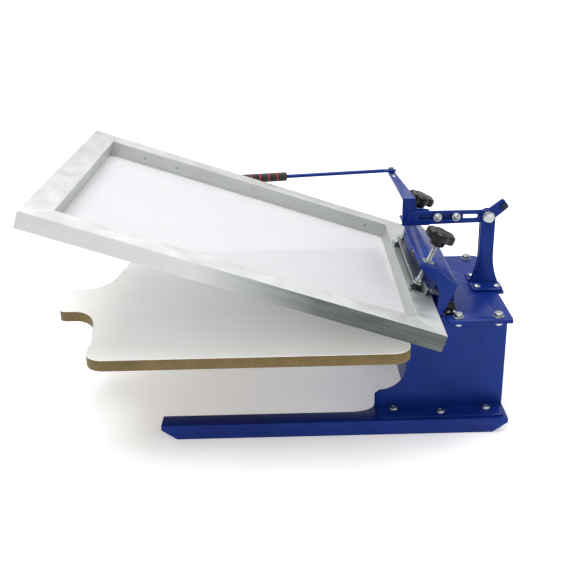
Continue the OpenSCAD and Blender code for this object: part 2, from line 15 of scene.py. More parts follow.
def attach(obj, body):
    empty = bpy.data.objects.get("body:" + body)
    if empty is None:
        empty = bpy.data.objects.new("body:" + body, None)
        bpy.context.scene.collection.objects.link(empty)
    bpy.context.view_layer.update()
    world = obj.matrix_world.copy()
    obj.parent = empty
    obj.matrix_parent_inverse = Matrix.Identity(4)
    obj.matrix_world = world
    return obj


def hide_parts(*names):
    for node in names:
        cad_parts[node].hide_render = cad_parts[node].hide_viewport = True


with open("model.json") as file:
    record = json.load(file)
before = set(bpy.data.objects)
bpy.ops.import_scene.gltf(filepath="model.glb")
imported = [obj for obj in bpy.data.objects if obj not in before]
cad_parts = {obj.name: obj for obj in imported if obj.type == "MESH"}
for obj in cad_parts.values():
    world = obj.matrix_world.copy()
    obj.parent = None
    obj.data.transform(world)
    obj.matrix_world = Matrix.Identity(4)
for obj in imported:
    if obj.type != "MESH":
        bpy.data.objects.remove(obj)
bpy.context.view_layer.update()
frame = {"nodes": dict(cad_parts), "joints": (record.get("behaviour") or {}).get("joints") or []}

NODES = frame["nodes"]
JOINTS = {joint["name"]: joint for joint in frame["joints"]}
TURN = 2 * math.pi

# The clamp and the screen share one frame: its origin is on the hinge, and it is tilted open.
SLIDE_AXIS = JOINTS["frame_slide"]["axis"]
OPEN_ANGLE = math.atan2(SLIDE_AXIS[2], -SLIDE_AXIS[0])
HINGE = Vector(JOINTS["screen_tilt"]["pos_m"])
CARRIER = Matrix.Translation(HINGE) @ Matrix.Rotation(OPEN_ANGLE, 4, "Y")

# Turns that lay a part's z axis along +Y and along -Y.
FACE_Y = Matrix.Rotation(-math.pi / 2, 4, "X")
FACE_BACK_Y = Matrix.Rotation(math.pi / 2, 4, "X")

CAMERA_PLACE = (0.0179, -1.3454, 0.7393)
CAMERA_YAW = math.radians(0.181)
CAMERA_PITCH = math.radians(21.966)
CAMERA_ROLL = math.radians(-1.293)

# Fasteners, in millimetres: the threads' pitch, their overlap into the head, a washer's height.
BOLT_PITCH = 1.0
INTO_HEAD = 0.2
WASHER = 1.6

# Streaks of brushed metal: fine across, long along X or along Y.
STREAKS_ALONG_X = (2.5, 420, 420)
STREAKS_ALONG_Y = (420, 2.5, 420)
ALUMINIUM = (0.64, 0.655, 0.645)


# ---- Camera, light and floor ----


def make_camera():
    """Camera before the press's near side, looking back and down."""
    ahead = math.cos(CAMERA_PITCH)
    forward = Vector(
        (math.sin(CAMERA_YAW) * ahead, math.cos(CAMERA_YAW) * ahead, -math.sin(CAMERA_PITCH))
    )
    level = Vector((math.cos(CAMERA_YAW), -math.sin(CAMERA_YAW), 0))
    upright = level.cross(forward)
    right = level * math.cos(CAMERA_ROLL) + upright * math.sin(CAMERA_ROLL)
    up = upright * math.cos(CAMERA_ROLL) - level * math.sin(CAMERA_ROLL)
    turn = Matrix((right, up, -forward)).transposed().to_4x4()
    data = bpy.data.cameras.new("camera")
    data.sensor_width = 36
    data.lens = 53.19
    data.shift_x = -0.0157
    data.shift_y = -0.0096
    camera = bpy.data.objects.new("camera", data)
    camera.matrix_world = Matrix.Translation(CAMERA_PLACE) @ turn
    bpy.context.scene.collection.objects.link(camera)
    bpy.context.scene.camera = camera


def area_light(name, place, aim, size, power):
    data = bpy.data.lights.new(name, "AREA")
    data.shape = "DISK"
    data.size = size
    data.energy = power
    light = bpy.data.objects.new(name, data)
    light.location = place
    light.rotation_euler = (Vector(aim) - Vector(place)).to_track_quat("-Z", "Y").to_euler()
    bpy.context.scene.collection.objects.link(light)


def make_studio():
    """A pale sky that darkens towards the horizon, three soft lights and a floor."""
    scene = bpy.context.scene
    scene.view_settings.view_transform = "Standard"
    world = bpy.data.worlds.new("studio")
    world.use_nodes = True
    nodes, links = world.node_tree.nodes, world.node_tree.links
    coords = nodes.new("ShaderNodeTexCoord")
    split = nodes.new("ShaderNodeSeparateXYZ")
    ramp = nodes.new("ShaderNodeValToRGB")
    ramp.color_ramp.elements[0].position = 0.0
    ramp.color_ramp.elements[0].color = (0.5, 0.51, 0.53, 1)
    ramp.color_ramp.elements[1].position = 0.6
    ramp.color_ramp.elements[1].color = (1, 1, 1, 1)
    links.new(coords.outputs["Generated"], split.inputs[0])
    links.new(split.outputs["Z"], ramp.inputs["Fac"])
    links.new(ramp.outputs["Color"], nodes["Background"].inputs["Color"])
    nodes["Background"].inputs["Strength"].default_value = 0.85
    scene.world = world
    area_light("key", (-0.5, -0.3, 2.0), aim=(0, 0, 0.15), size=1.3, power=20)
    area_light("top", (0.4, 0.7, 2.0), aim=(0.1, 0, 0.1), size=1.6, power=20)
    area_light("fill", (1.6, -1.4, 0.9), aim=(0.1, 0, 0.2), size=1.0, power=2)
    reach = 25
    gap_under_rails = 0.0005
    corners = [(-reach, -reach, 0), (reach, -reach, 0), (reach, reach, 0), (-reach, reach, 0)]
    floor = mesh_piece("floor", [(corners, [(0, 1, 2, 3)])])
    floor.location.z = -gap_under_rails
    floor.data.materials.append(floor_material())


# ---- Material helpers ----


class Shader:
    """A node material under construction, in object coordinates tilted about the Y axis."""

    def __init__(self, name, tilt=0.0):
        self.material = bpy.data.materials.new(name)
        self.material.use_nodes = True
        self.nodes = self.material.node_tree.nodes
        self.links = self.material.node_tree.links
        self.bsdf = self.nodes["Principled BSDF"]
        coords = self.nodes.new("ShaderNodeTexCoord")
        turn = self.nodes.new("ShaderNodeMapping")
        turn.inputs["Rotation"].default_value = (0, -tilt, 0)
        self.links.new(coords.outputs["Object"], turn.inputs["Vector"])
        self.base = turn.outputs["Vector"]

    def set(self, **values):
        for key, value in values.items():
            self.bsdf.inputs[key.replace("_", " ")].default_value = value
        return self

    def stretched(self, scale):
        mapping = self.nodes.new("ShaderNodeMapping")
        mapping.inputs["Scale"].default_value = scale
        self.links.new(self.base, mapping.inputs["Vector"])
        return mapping.outputs["Vector"]

    def noise(self, scale, detail=3.0, stretch=None, distort=0.0):
        node = self.nodes.new("ShaderNodeTexNoise")
        node.inputs["Scale"].default_value = scale
        node.inputs["Detail"].default_value = detail
        node.inputs["Distortion"].default_value = distort
        self.links.new(self.stretched(stretch) if stretch else self.base, node.inputs["Vector"])
        return node.outputs["Fac"]

    def ramp(self, value, low, high, dark, pale):
        node = self.nodes.new("ShaderNodeValToRGB")
        first, last = node.color_ramp.elements
        first.position, last.position = low, high
        first.color = grey(dark) if isinstance(dark, float) else (*dark, 1)
        last.color = grey(pale) if isinstance(pale, float) else (*pale, 1)
        self.links.new(value, node.inputs["Fac"])
        return node.outputs["Color"]

    def mix(self, factor, first, second, mode="MIX"):
        node = self.nodes.new("ShaderNodeMix")
        node.data_type = "RGBA"
        node.blend_type = mode
        if isinstance(factor, float):
            node.inputs[0].default_value = factor
        else:
            self.links.new(factor, node.inputs[0])
        self.links.new(first, node.inputs[6])
        self.links.new(second, node.inputs[7])
        return node.outputs[2]

    def scaled(self, value, factor, offset=0.0):
        node = self.nodes.new("ShaderNodeMath")
        node.operation = "MULTIPLY_ADD"
        self.links.new(value, node.inputs[0])
        node.inputs[1].default_value = factor
        node.inputs[2].default_value = offset
        return node.outputs[0]

    def colour(self, value):
        self.links.new(value, self.bsdf.inputs["Base Color"])
        return self

    def rough(self, value, low, high, smooth, coarse):
        roughness = self.ramp(value, low, high, smooth, coarse)
        self.links.new(roughness, self.bsdf.inputs["Roughness"])
        return self

    def bump(self, height, depth, strength=1.0):
        node = self.nodes.new("ShaderNodeBump")
        node.inputs["Distance"].default_value = depth
        node.inputs["Strength"].default_value = strength
        self.links.new(height, node.inputs["Height"])
        normal = self.bsdf.inputs["Normal"]
        if normal.links:
            self.links.new(normal.links[0].from_socket, node.inputs["Normal"])
        self.links.new(node.outputs["Normal"], normal)
        return self


def grey(value):
    return (value, value, value, 1)


def floor_material():
    s = Shader("floor_paper")
    s.set(Roughness=0.85, Emission_Color=(1, 1, 1, 1), Emission_Strength=0.3)
    s.colour(s.ramp(s.noise(6), 0.3, 0.7, (0.9, 0.9, 0.905), (0.93, 0.93, 0.935)))
    return s.material


def powder_coat(name, deep, pale):
    s = Shader(name)
    s.set(Coat_Weight=0.06, Coat_Roughness=0.15, Specular_IOR_Level=0.25)
    s.set(Specular_Tint=(0.4, 0.55, 1.0, 1.0))
    s.colour(s.ramp(s.noise(14, 4), 0.35, 0.68, deep, pale))
    s.rough(s.noise(55), 0.3, 0.7, 0.3, 0.42)
    s.bump(s.noise(650, 2), 0.00012, 0.5)
    s.bump(s.noise(90, 2), 0.0002, 0.25)
    return s.material


def plated_steel(name, dark, pale, low=0.2, high=0.34):
    s = Shader(name)
    s.set(Metallic=1.0)
    s.colour(s.ramp(s.noise(160, 4), 0.3, 0.7, dark, pale))
    s.rough(s.noise(240), 0.3, 0.7, low, high)
    s.bump(s.noise(900, 2), 0.00006, 0.5)
    return s.material


def galvanised_steel():
    s = Shader("galvanised_sheet", OPEN_ANGLE)
    s.set(Metallic=0.9)
    cells = s.nodes.new("ShaderNodeTexVoronoi")
    cells.inputs["Scale"].default_value = 260
    s.links.new(s.base, cells.inputs["Vector"])
    s.colour(s.ramp(cells.outputs["Color"], 0.2, 0.9, (0.3, 0.33, 0.34), (0.5, 0.53, 0.54)))
    s.rough(s.noise(120), 0.3, 0.7, 0.34, 0.5)
    s.bump(s.noise(500, 3), 0.0001, 0.5)
    return s.material


def painted_side_shade_mask(s):
    """Mask of painted shade: one on faces turned to the near side, fading in towards the rear of the
    screen.
    """
    coords = s.nodes.new("ShaderNodeTexCoord")
    facing = s.nodes.new("ShaderNodeSeparateXYZ")
    s.links.new(coords.outputs["Normal"], facing.inputs[0])
    along = s.nodes.new("ShaderNodeSeparateXYZ")
    s.links.new(coords.outputs["Object"], along.inputs[0])
    outward = s.ramp(s.scaled(facing.outputs["Y"], -1), 0.5, 0.9, 0.0, 1.0)
    rearward = s.ramp(s.scaled(along.outputs["X"], 2, 0.6), 0.36, 0.7, 0.0, 1.0)
    return s.mix(1.0, outward, rearward, "MULTIPLY")


def brushed_aluminium(name, stretch, painted_side_shade=False):
    """Brushed tube; the near bar's copy gets painted shade, dark streaks on its outer side."""
    s = Shader(name, OPEN_ANGLE)
    s.set(Metallic=0.85)
    streaks = s.noise(1, 5, stretch)
    blotch = s.noise(26, 5, None, 0.6)
    base = s.ramp(streaks, 0.3, 0.7, tuple(0.9 * c for c in ALUMINIUM), ALUMINIUM)
    worn = s.ramp(blotch, 0.35, 0.75, (0.9, 0.9, 0.885), (1.0, 1.0, 1.0))
    cleaned = s.mix(1.0, base, worn, "MULTIPLY")
    if painted_side_shade:
        # Painted shade: dark streaks on faces turned to the near side, deepening towards the rear.
        mask = painted_side_shade_mask(s)
        shade_streaks = s.noise(1, 5, (9, 160, 160))
        painted_shade = s.ramp(shade_streaks, 0.25, 0.8, (0.05, 0.062, 0.055), (0.17, 0.19, 0.175))
        cleaned = s.mix(mask, cleaned, painted_shade)
    s.colour(cleaned)
    s.rough(blotch, 0.3, 0.75, 0.44, 0.6)
    s.bump(streaks, 0.00004, 0.5)
    s.bump(s.noise(45, 4, None, 1.2), 0.0002, 0.25)
    return s.material


def mesh_fabric(name, tint, cover=1.0):
    """Plain weave that hides the given share of what is behind it."""
    s = Shader(name, OPEN_ANGLE)
    s.set(Sheen_Weight=0.05, Specular_IOR_Level=0.3, Roughness=0.55, Alpha=cover)
    waves = []
    for direction in ("X", "Y"):
        threads = s.nodes.new("ShaderNodeTexWave")
        threads.bands_direction = direction
        threads.inputs["Scale"].default_value = 450
        s.links.new(s.base, threads.inputs["Vector"])
        waves.append(threads.outputs["Color"])
    height = s.mix(0.5, *waves)
    weave = s.ramp(height, 0.1, 0.9, tuple(0.94 * c for c in tint), tint)
    haze = s.ramp(s.noise(7, 4), 0.3, 0.7, (0.96, 0.965, 0.97), (1.0, 1.0, 1.0))
    s.colour(s.mix(1.0, weave, haze, "MULTIPLY"))
    s.bump(height, 0.00004, 0.6)
    return s.material


def board_edge():
    s = Shader("fibre_board")
    s.set(Specular_IOR_Level=0.25)
    fibres = s.noise(1, 6, (260, 260, 1500))
    blotch = s.noise(38, 5)
    base = s.ramp(fibres, 0.3, 0.7, (0.12, 0.085, 0.027), (0.26, 0.19, 0.08))
    worn = s.ramp(blotch, 0.3, 0.72, (0.72, 0.7, 0.68), (1.0, 1.0, 1.0))
    s.colour(s.mix(1.0, base, worn, "MULTIPLY"))
    s.rough(blotch, 0.3, 0.7, 0.5, 0.72)
    s.bump(fibres, 0.0003, 0.6)
    return s.material


def laminate():
    s = Shader("pallet_laminate_sheet")
    s.set(Coat_Weight=0.15, Coat_Roughness=0.2, Specular_IOR_Level=0.4)
    s.colour(s.ramp(s.noise(9, 4), 0.3, 0.7, (0.9, 0.89, 0.86), (0.93, 0.925, 0.9)))
    s.rough(s.noise(60, 3), 0.3, 0.7, 0.3, 0.42)
    s.bump(s.noise(420, 3), 0.00005, 0.6)
    return s.material


def moulded_plastic(name, dark, pale, low, high, grain=900):
    s = Shader(name)
    s.set(Specular_IOR_Level=0.28)
    s.colour(s.ramp(s.noise(90, 3), 0.3, 0.7, dark, pale))
    s.rough(s.noise(140), 0.3, 0.7, low, high)
    s.bump(s.noise(grain, 2), 0.0001, 0.6)
    return s.material


def foam_sleeve():
    s = Shader("foam_sleeve")
    s.set(Specular_IOR_Level=0.3, Sheen_Weight=0.2)
    cells = s.nodes.new("ShaderNodeTexVoronoi")
    cells.inputs["Scale"].default_value = 1100
    s.links.new(s.base, cells.inputs["Vector"])
    s.colour(s.ramp(s.noise(70, 4), 0.3, 0.7, (0.008, 0.008, 0.009), (0.022, 0.022, 0.024)))
    s.rough(s.noise(300), 0.3, 0.7, 0.55, 0.8)
    s.bump(cells.outputs["Distance"], 0.0004, 0.6)
    return s.material


# ---- Mesh helpers: a part is a pair of points and faces, in millimetres ----


def mesh_piece(name, parts, sharp=38):
    """One object made of parts already in metres, smooth up to the given angle."""
    points, faces = [], []
    for part_points, part_faces in parts:
        start = len(points)
        points += [tuple(p) for p in part_points]
        faces += [tuple(i + start for i in f) for f in part_faces]
    mesh = bpy.data.meshes.new(name)
    mesh.from_pydata(points, [], faces)
    work = bmesh.new()
    work.from_mesh(mesh)
    bmesh.ops.recalc_face_normals(work, faces=work.faces)
    work.to_mesh(mesh)
    work.free()
    mesh.polygons.foreach_set("use_smooth", [True] * len(mesh.polygons))
    mesh.set_sharp_from_angle(angle=math.radians(sharp))
    piece = bpy.data.objects.new(name, mesh)
    bpy.context.scene.collection.objects.link(piece)
    return piece


def moved(part, matrix):
    """A part in metres, put in place by the matrix."""
    return [matrix @ (Vector(p) / 1000) for p in part[0]], part[1]


def shifted(part, x=0, y=0, z=0):
    return [(p[0] + x, p[1] + y, p[2] + z) for p in part[0]], part[1]


def at(value, angle):
    """The value of a number, or of a function of the angle."""
    return value(angle) if callable(value) else value


def lathe(rings, sides=32, wrap=False):
    """Rings of (radius, height) round the z axis, each a number or a function of the angle."""
    points, faces = [], []
    for radius, height in rings:
        for i in range(sides):
            a = TURN * i / sides
            r = at(radius, a)
            points.append((r * math.cos(a), r * math.sin(a), at(height, a)))
    count = len(rings)
    for k in range(count if wrap else count - 1):
        n = (k + 1) % count
        for i in range(sides):
            j = (i + 1) % sides
            faces.append((k * sides + i, k * sides + j, n * sides + j, n * sides + i))
    if not wrap:
        faces.append(tuple(range(sides - 1, -1, -1)))
        faces.append(tuple((count - 1) * sides + i for i in range(sides)))
    return points, faces


def hexagon(across_corners):
    """Radius of a hexagon as a function of the angle."""
    apothem = across_corners / 2 * math.cos(math.pi / 6)
    return lambda a: apothem / math.cos(a % (math.pi / 3) - math.pi / 6)


def hexagon_with_face(size):
    """A hexagon, the radius of its round end face, and how far its corners are cut back."""
    edge = hexagon(size)
    face = size / 2 * math.cos(math.pi / 6) * 0.98
    return edge, face, lambda a: 0.5 * (edge(a) - face)


def hex_head(size, height):
    edge, face, cut_back = hexagon_with_face(size)
    rings = [
        (lambda a: edge(a) - 0.2, 0),
        (edge, 0.25),
        (edge, lambda a: height - cut_back(a)),
        (face, height),
        (face * 0.8, height),
    ]
    return lathe(rings, 48)


def nut(size, height, bore):
    edge, face, cut_back = hexagon_with_face(size)
    rings = [
        (bore + 0.5, 0),
        (face, 0),
        (edge, cut_back),
        (edge, lambda a: height - cut_back(a)),
        (face, height),
        (bore + 0.5, height),
        (bore, height - 0.5),
        (bore, 0.5),
    ]
    return lathe(rings, 48, wrap=True)


def washer(inner, outer, height):
    chamfer = 0.25
    rings = [
        (inner, 0),
        (outer - chamfer, 0),
        (outer, chamfer),
        (outer, height - chamfer),
        (outer - chamfer, height),
        (inner, height),
    ]
    return lathe(rings, 40, wrap=True)


def button_head(size, height, key):
    """Domed head with a hexagonal socket."""
    radius = size / 2
    socket = hexagon(key)
    chamfer = 0.35
    rings = [(radius - 0.3, 0), (radius, 0.35)]
    for i in range(1, 7):
        a = math.pi / 2 * i / 7.5
        rings.append((radius * math.cos(a) + key * 0.3 * (i / 7), height * math.sin(a)))
    rings += [(lambda t: socket(t) + chamfer, height), (socket, height - chamfer)]
    rings += [(socket, height - 0.45 * height), (0.3, height - 0.55 * height)]
    return lathe(rings, 48)


def threaded(diameter, pitch, low, high, sides=20):
    """Rod with a helical thread from low to high, which fades out at both ends."""
    depth = 0.6 * pitch
    steps = 4
    count = int((high - low) / pitch * steps)
    rings = [(diameter / 2 - depth, low)]
    for k in range(1, count):
        z = low + (high - low) * k / count
        fade = min(1.0, (count - k) / steps, k / steps)

        def radius(a, z=z, fade=fade):
            phase = (z / pitch - a / TURN) % 1
            return diameter / 2 - depth * (1 - fade * (1 - abs(2 * phase - 1)))

        rings.append((radius, z))
    rings.append((diameter / 2 - depth, high))
    return lathe(rings, sides)


def tube(path, radius, sides=10):
    """Round wire along a path of points."""
    path = [Vector(p) for p in path]
    count = len(path)
    points, faces = [], []
    side = None
    for k, p in enumerate(path):
        ahead = (path[min(k + 1, count - 1)] - path[max(k - 1, 0)]).normalized()
        if side is None:
            side = ahead.orthogonal().normalized()
        side = (side - ahead * side.dot(ahead)).normalized()
        across = ahead.cross(side)
        for i in range(sides):
            a = TURN * i / sides
            points.append(p + (side * math.cos(a) + across * math.sin(a)) * radius)
    for k in range(count - 1):
        for i in range(sides):
            j = (i + 1) % sides
            a, b = k * sides, (k + 1) * sides
            faces.append((a + i, a + j, b + j, b + i))
    faces.append(tuple(range(sides - 1, -1, -1)))
    faces.append(tuple((count - 1) * sides + i for i in range(sides)))
    return points, faces


def helix(radius, low, high, turns, start=0.0, steps=22):
    """Points of a coil round the z axis, from low to high."""
    points = []
    for k in range(turns * steps + 1):
        t = k / (turns * steps)
        a = start + TURN * k / steps
        points.append((radius * math.cos(a), radius * math.sin(a), low + (high - low) * t))
    return points


Solid = namedtuple("Solid", "centre low high")


def solids(node):
    """The centre and corners, in millimetres, of each separate solid of a CAD node."""
    mesh = NODES[node].data
    key = [tuple(round(c * 1e5) for c in v.co) for v in mesh.vertices]
    parent = {k: k for k in key}

    def root(k):
        while parent[k] != k:
            parent[k] = parent[parent[k]]
            k = parent[k]
        return k

    for edge in mesh.edges:
        a, b = (root(key[i]) for i in edge.vertices)
        parent[a] = b
    groups = {}
    for v, k in zip(mesh.vertices, key):
        groups.setdefault(root(k), []).append(v.co * 1000)
    found = []
    for group in groups.values():
        low = Vector([min(c[i] for c in group) for i in range(3)])
        high = Vector([max(c[i] for c in group) for i in range(3)])
        found.append(Solid((low + high) / 2, low, high))
    return sorted(found, key=lambda solid: (round(solid.centre.x), round(solid.centre.y)))


def make_piece(name, parts, body, material, node, sharp=38):
    """A mesh piece that stands for one CAD node and rides on its body."""
    piece = mesh_piece(name, parts, sharp)
    piece.data.materials.append(material)
    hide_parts(node)
    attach(piece, body)
    return piece


def place(x, y, z, turn=None):
    """Matrix to a point in millimetres, turned by the given rotation."""
    matrix = Matrix.Translation(Vector((x, y, z)) / 1000)
    return matrix @ turn if turn else matrix


# ---- CAD nodes that stay ----


def soften_edges(names, width, smooth=True):
    """Rounds the sharp edges of CAD nodes, once their flat faces are single faces again."""
    for name in names:
        node = NODES[name]
        weld = node.modifiers.new("weld", "WELD")
        weld.merge_threshold = 0.00001
        plain = node.modifiers.new("flat_faces", "DECIMATE")
        plain.decimate_type = "DISSOLVE"
        plain.angle_limit = math.radians(1)
        bevel = node.modifiers.new("edges", "BEVEL")
        bevel.width = width
        bevel.segments = 2
        bevel.limit_method = "ANGLE"
        bevel.angle_limit = math.radians(35)
        bevel.use_clamp_overlap = True
        bevel.harden_normals = smooth
        node.data.polygons.foreach_set("use_smooth", [smooth] * len(node.data.polygons))


def paint(material, *names):
    for name in names:
        data = NODES[name].data
        data.materials.clear()
        data.materials.append(material)


# ---- Fasteners ----


def upright_bolts(name, node, head, head_height, diameter, reach, zinc):
    """Bolts of the base: the head's parts on their seat, and a thread down from it."""
    parts = []
    for bolt in solids(node):
        at_seat = place(bolt.centre.x, bolt.centre.y, bolt.high.z - head_height)
        parts += [moved(part, at_seat) for part in head]
        parts.append(moved(threaded(diameter, BOLT_PITCH, -reach, INTO_HEAD), at_seat))
    make_piece(name, parts, "base", zinc, node)


def upright_nuts(name, node, size, height, bore, zinc, washer_radius=None):
    """Nuts of the base, with a washer over each where one is asked for."""
    parts = []
    for solid in solids(node):
        x, y = solid.centre.x, solid.centre.y
        parts.append(moved(nut(size, height, bore), place(x, y, solid.low.z)))
        if washer_radius:
            disc = washer(bore, washer_radius, WASHER)
            parts.append(moved(disc, place(x, y, solid.high.z - WASHER)))
    make_piece(name, parts, "base", zinc, node)


def make_base_fasteners(zinc):
    upright_bolts(
        "rail_button_bolts", "rail_bolts", [button_head(14, 4, 4.6)],
        head_height=4, diameter=6, reach=15.9, zinc=zinc,
    )
    upright_nuts("rail_hex_nuts", "rail_nuts", size=11.5, height=5, bore=3, zinc=zinc)
    hex_on_washer = [washer(4, 9, WASHER), shifted(hex_head(15, 5.3), z=WASHER)]
    upright_bolts(
        "top_hex_bolts", "top_bolts", hex_on_washer,
        head_height=6.9, diameter=8, reach=14.5, zinc=zinc,
    )
    upright_nuts(
        "top_hex_nuts", "top_nuts", size=15, height=6.5, bore=4, zinc=zinc, washer_radius=9
    )
    upright_bolts(
        "post_button_bolts", "post_bolts", [button_head(12, 4, 4.2)],
        head_height=4, diameter=6, reach=15.9, zinc=zinc,
    )
    upright_nuts("post_hex_nuts", "post_nuts", size=11.5, height=5, bore=3, zinc=zinc)
    upright_bolts(
        "lug_button_screws", "lug_screws", [button_head(7, 2.4, 2.6)],
        head_height=2.4, diameter=4, reach=11.9, zinc=zinc,
    )


def make_tray_bolts(zinc):
    """Bolts through the noses of the side plates, heads outside and nuts inside."""
    head_height, nut_depth = 4, 6
    parts = []
    for bolt in solids("tray_bolts"):
        x, z = bolt.centre.x, bolt.centre.z
        if bolt.centre.y > 0:
            side, outward, inward = 1, FACE_Y, FACE_BACK_Y
            seat = bolt.high.y - head_height
        else:
            side, outward, inward = -1, FACE_BACK_Y, FACE_Y
            seat = bolt.low.y + head_height
        at_seat = place(x, seat, z, outward)
        parts.append(moved(button_head(12, head_height, 4.2), at_seat))
        parts.append(moved(threaded(6, BOLT_PITCH, -13, INTO_HEAD), at_seat))
        parts.append(moved(nut(11, 5, 3), place(x, seat - side * nut_depth, z, inward)))
    make_piece("tray_button_bolts", parts, "base", zinc, "tray_bolts")


def make_pallet_screws(zinc):
    """Countersunk wood screws, driven up into the board."""
    parts = []
    for screw in solids("pallet_screws"):
        at_head = place(screw.centre.x, screw.centre.y, screw.low.z)
        parts.append(moved(lathe([(4.5, 0), (4.5, 0.5), (2.3, 2.5), (2.2, 4)], 32), at_head))
        parts.append(moved(threaded(4.4, 1.8, 3.5, 17.4), at_head))
    make_piece("pallet_wood_screws", parts, "base", zinc, "pallet_screws")


def make_pivot(zinc):
    """The bolt that the lever arm turns on: a smooth shank, then a short thread and its nut."""
    bolt = solids("pivot_bolt")[0]
    x, z = bolt.centre.x, bolt.centre.z
    seat = bolt.low.y + 5
    inward = place(x, seat, z, FACE_Y)
    parts = [
        moved(hex_head(18, 5), place(x, seat, z, FACE_BACK_Y)),
        moved(washer(5, 9.5, 1.5), inward),
        moved(lathe([(5, -1), (5, 19), (4.6, 19.2)], 32), inward),
        moved(threaded(10, 1.5, 18, bolt.high.y - seat), inward),
    ]
    make_piece("pivot_hex_bolt", parts, "base", zinc, "pivot_bolt")
    nut_low = solids("pivot_nut")[0].low.y
    parts = [moved(nut(18, 7, 5), place(x, nut_low, z, FACE_Y))]
    make_piece("pivot_hex_nut", parts, "base", zinc, "pivot_nut")


def make_arm_fasteners(zinc):
    """The two screws in the lever arm's slot, and their nuts."""
    head_height = 4
    parts = []
    for screw in solids("arm_screws"):
        x, z = screw.centre.x, screw.centre.z
        seat = screw.low.y + head_height
        inward = place(x, seat, z, FACE_Y)
        parts.append(moved(button_head(11, head_height, 4.2), place(x, seat, z, FACE_BACK_Y)))
        parts.append(moved(washer(3, 7, 1.3), inward))
        parts.append(moved(threaded(6, BOLT_PITCH, -0.5, screw.high.y - seat), inward))
    make_piece("arm_button_screws", parts, "cross_bracket", zinc, "arm_screws")
    parts = []
    for solid in solids("arm_nuts"):
        at_low = place(solid.centre.x, solid.low.y, solid.centre.z, FACE_Y)
        parts.append(moved(nut(11.5, 5, 3), at_low))
    make_piece("arm_hex_nuts", parts, "cross_bracket", zinc, "arm_nuts")


# ---- Handle ----


def rod_frame():
    """The joint frame at the rod's bolt: z along the bolt, origin on top of the strap."""
    joint = JOINTS["handle_swivel"]
    slope = math.asin(joint["axis"][1])
    return Matrix.Translation(joint["pos_m"]) @ Matrix.Rotation(-slope, 4, "X")


def make_rod_bolt(zinc):
    at_bolt = rod_frame()
    parts = [
        moved(shifted(hex_head(11.5, 4.5), z=4.6), at_bolt),
        moved(threaded(6, BOLT_PITCH, -11, 5), at_bolt),
    ]
    make_piece("rod_hex_bolt", parts, "cross_bracket", zinc, "rod_bolt")
    parts = [moved(shifted(nut(11.5, 5, 3), z=-8), at_bolt)]
    make_piece("rod_hex_nut", parts, "cross_bracket", zinc, "rod_nut")


def grip_frame():
    """Frame of the handle rod: z from the bolt towards the operator."""
    droop = math.radians(2)
    eye_reach, rod_height = 13.5, 2.3
    return rod_frame() @ place(-eye_reach, 0, rod_height) @ Matrix.Rotation(-math.pi / 2 - droop, 4, "Y")


# How far up the handle rod its grip starts, in millimetres.
GRIP_START = 188


def make_grip(foam):
    """Foam sleeve with faint ripples and rounded ends."""
    length, radius, ripple, steps = 119, 8.5, 0.1, 58
    start, end = GRIP_START, GRIP_START + length
    rings = [(3.7, start + 1), (6.5, start), (7.8, start + 0.8), (8.3, start + 2.2)]
    for k in range(1, steps):
        z = start + 2.2 + (length - 5.4) * k / steps
        rings.append((radius - ripple + ripple * math.cos(k * 1.9), z))
    rings += [(8.3, end - 2.2), (7.4, end - 0.8), (5.5, end - 0.1), (2.0, end)]
    parts = [moved(lathe(rings, 40), grip_frame())]
    sleeve = make_piece("foam_handle_sleeve", parts, "handle", foam, "foam_grip", 60)


def make_grip_rings(red):
    first, pitch, count = 16.2, 16.5, 6
    along = grip_frame()
    parts = []
    for i in range(count):
        low = GRIP_START + first + pitch * i
        profile = [(8.2, low), (8.45, low + 0.3), (8.55, low + 1.0), (8.55, low + 2.2)]
        profile += [(8.45, low + 2.9), (8.2, low + 3.2)]
        parts.append(moved(lathe(profile, 40, wrap=True), along))
    make_piece("grip_colour_rings", parts, "handle", red, "grip_rings")


# ---- Screen clamp ----

# Heights up the clamp screws in millimetres, and that of their joints in metres.
KNOB_LOW, KNOB_HEAD, KNOB_THICK = 85.7, 94.7, 14.0
FOOT_TOP, BAR_TOP = 17.7, 20.7
SCREW_JOINT_HEIGHT = 0.022


def star(a):
    """Radius of the knob's six-lobed outline."""
    return 22.6 - 1.75 * math.cos(6 * a) - 0.5 * math.cos(12 * a)


def screw_frame(side):
    """Frame of a clamp screw: z up the screw, with its joint SCREW_JOINT_HEIGHT up."""
    spin = JOINTS["far_knob_spin" if side > 0 else "near_knob_spin"]
    lean = math.atan2(spin["axis"][0], spin["axis"][2])
    axis = Matrix.Translation(Vector(spin["pos_m"])) @ Matrix.Rotation(lean, 4, "Y")
    return axis @ Matrix.Translation((0, 0, -SCREW_JOINT_HEIGHT))


def on_screw_axis(side, height):
    """The clamp's frame with its z axis moved to where the screw passes the given height."""
    screw = CARRIER.inverted() @ screw_frame(side)
    start, along = screw.translation, screw.to_3x3() @ Vector((0, 0, 1))
    point = start + along * ((height / 1000 - start.z) / along.z)
    return CARRIER @ Matrix.Translation((point.x, point.y, 0))


def make_knob(name, node, body, side, plastic):
    """Hub, lobed head with rounded edges, and the shallow groove round the cap on top."""
    low, head, top = KNOB_LOW, KNOB_HEAD, KNOB_HEAD + KNOB_THICK
    rings = [(5.0, low), (10.0, low), (11.4, low + 1), (12.4, head - 1.5)]
    for inset, height in (
        (7.5, 0.0), (3.2, 0.25), (1.0, 1.2), (0.15, 2.8), (0.0, 5.0), (0.0, 9.0),
        (0.4, 11.4), (1.5, 13.0), (3.2, 13.9), (5.5, KNOB_THICK),
    ):
        rings.append((lambda a, inset=inset: star(a) - inset, head + height))
    rings += [(13.5, top - 0.4), (12.0, top - 1.1), (11.2, top - 1.2)]
    rings += [(10.8, top - 0.4), (10.2, top - 0.1), (3.0, top)]
    parts = [moved(lathe(rings, 96), screw_frame(side))]
    make_piece(name, parts, body, plastic, node, 50)


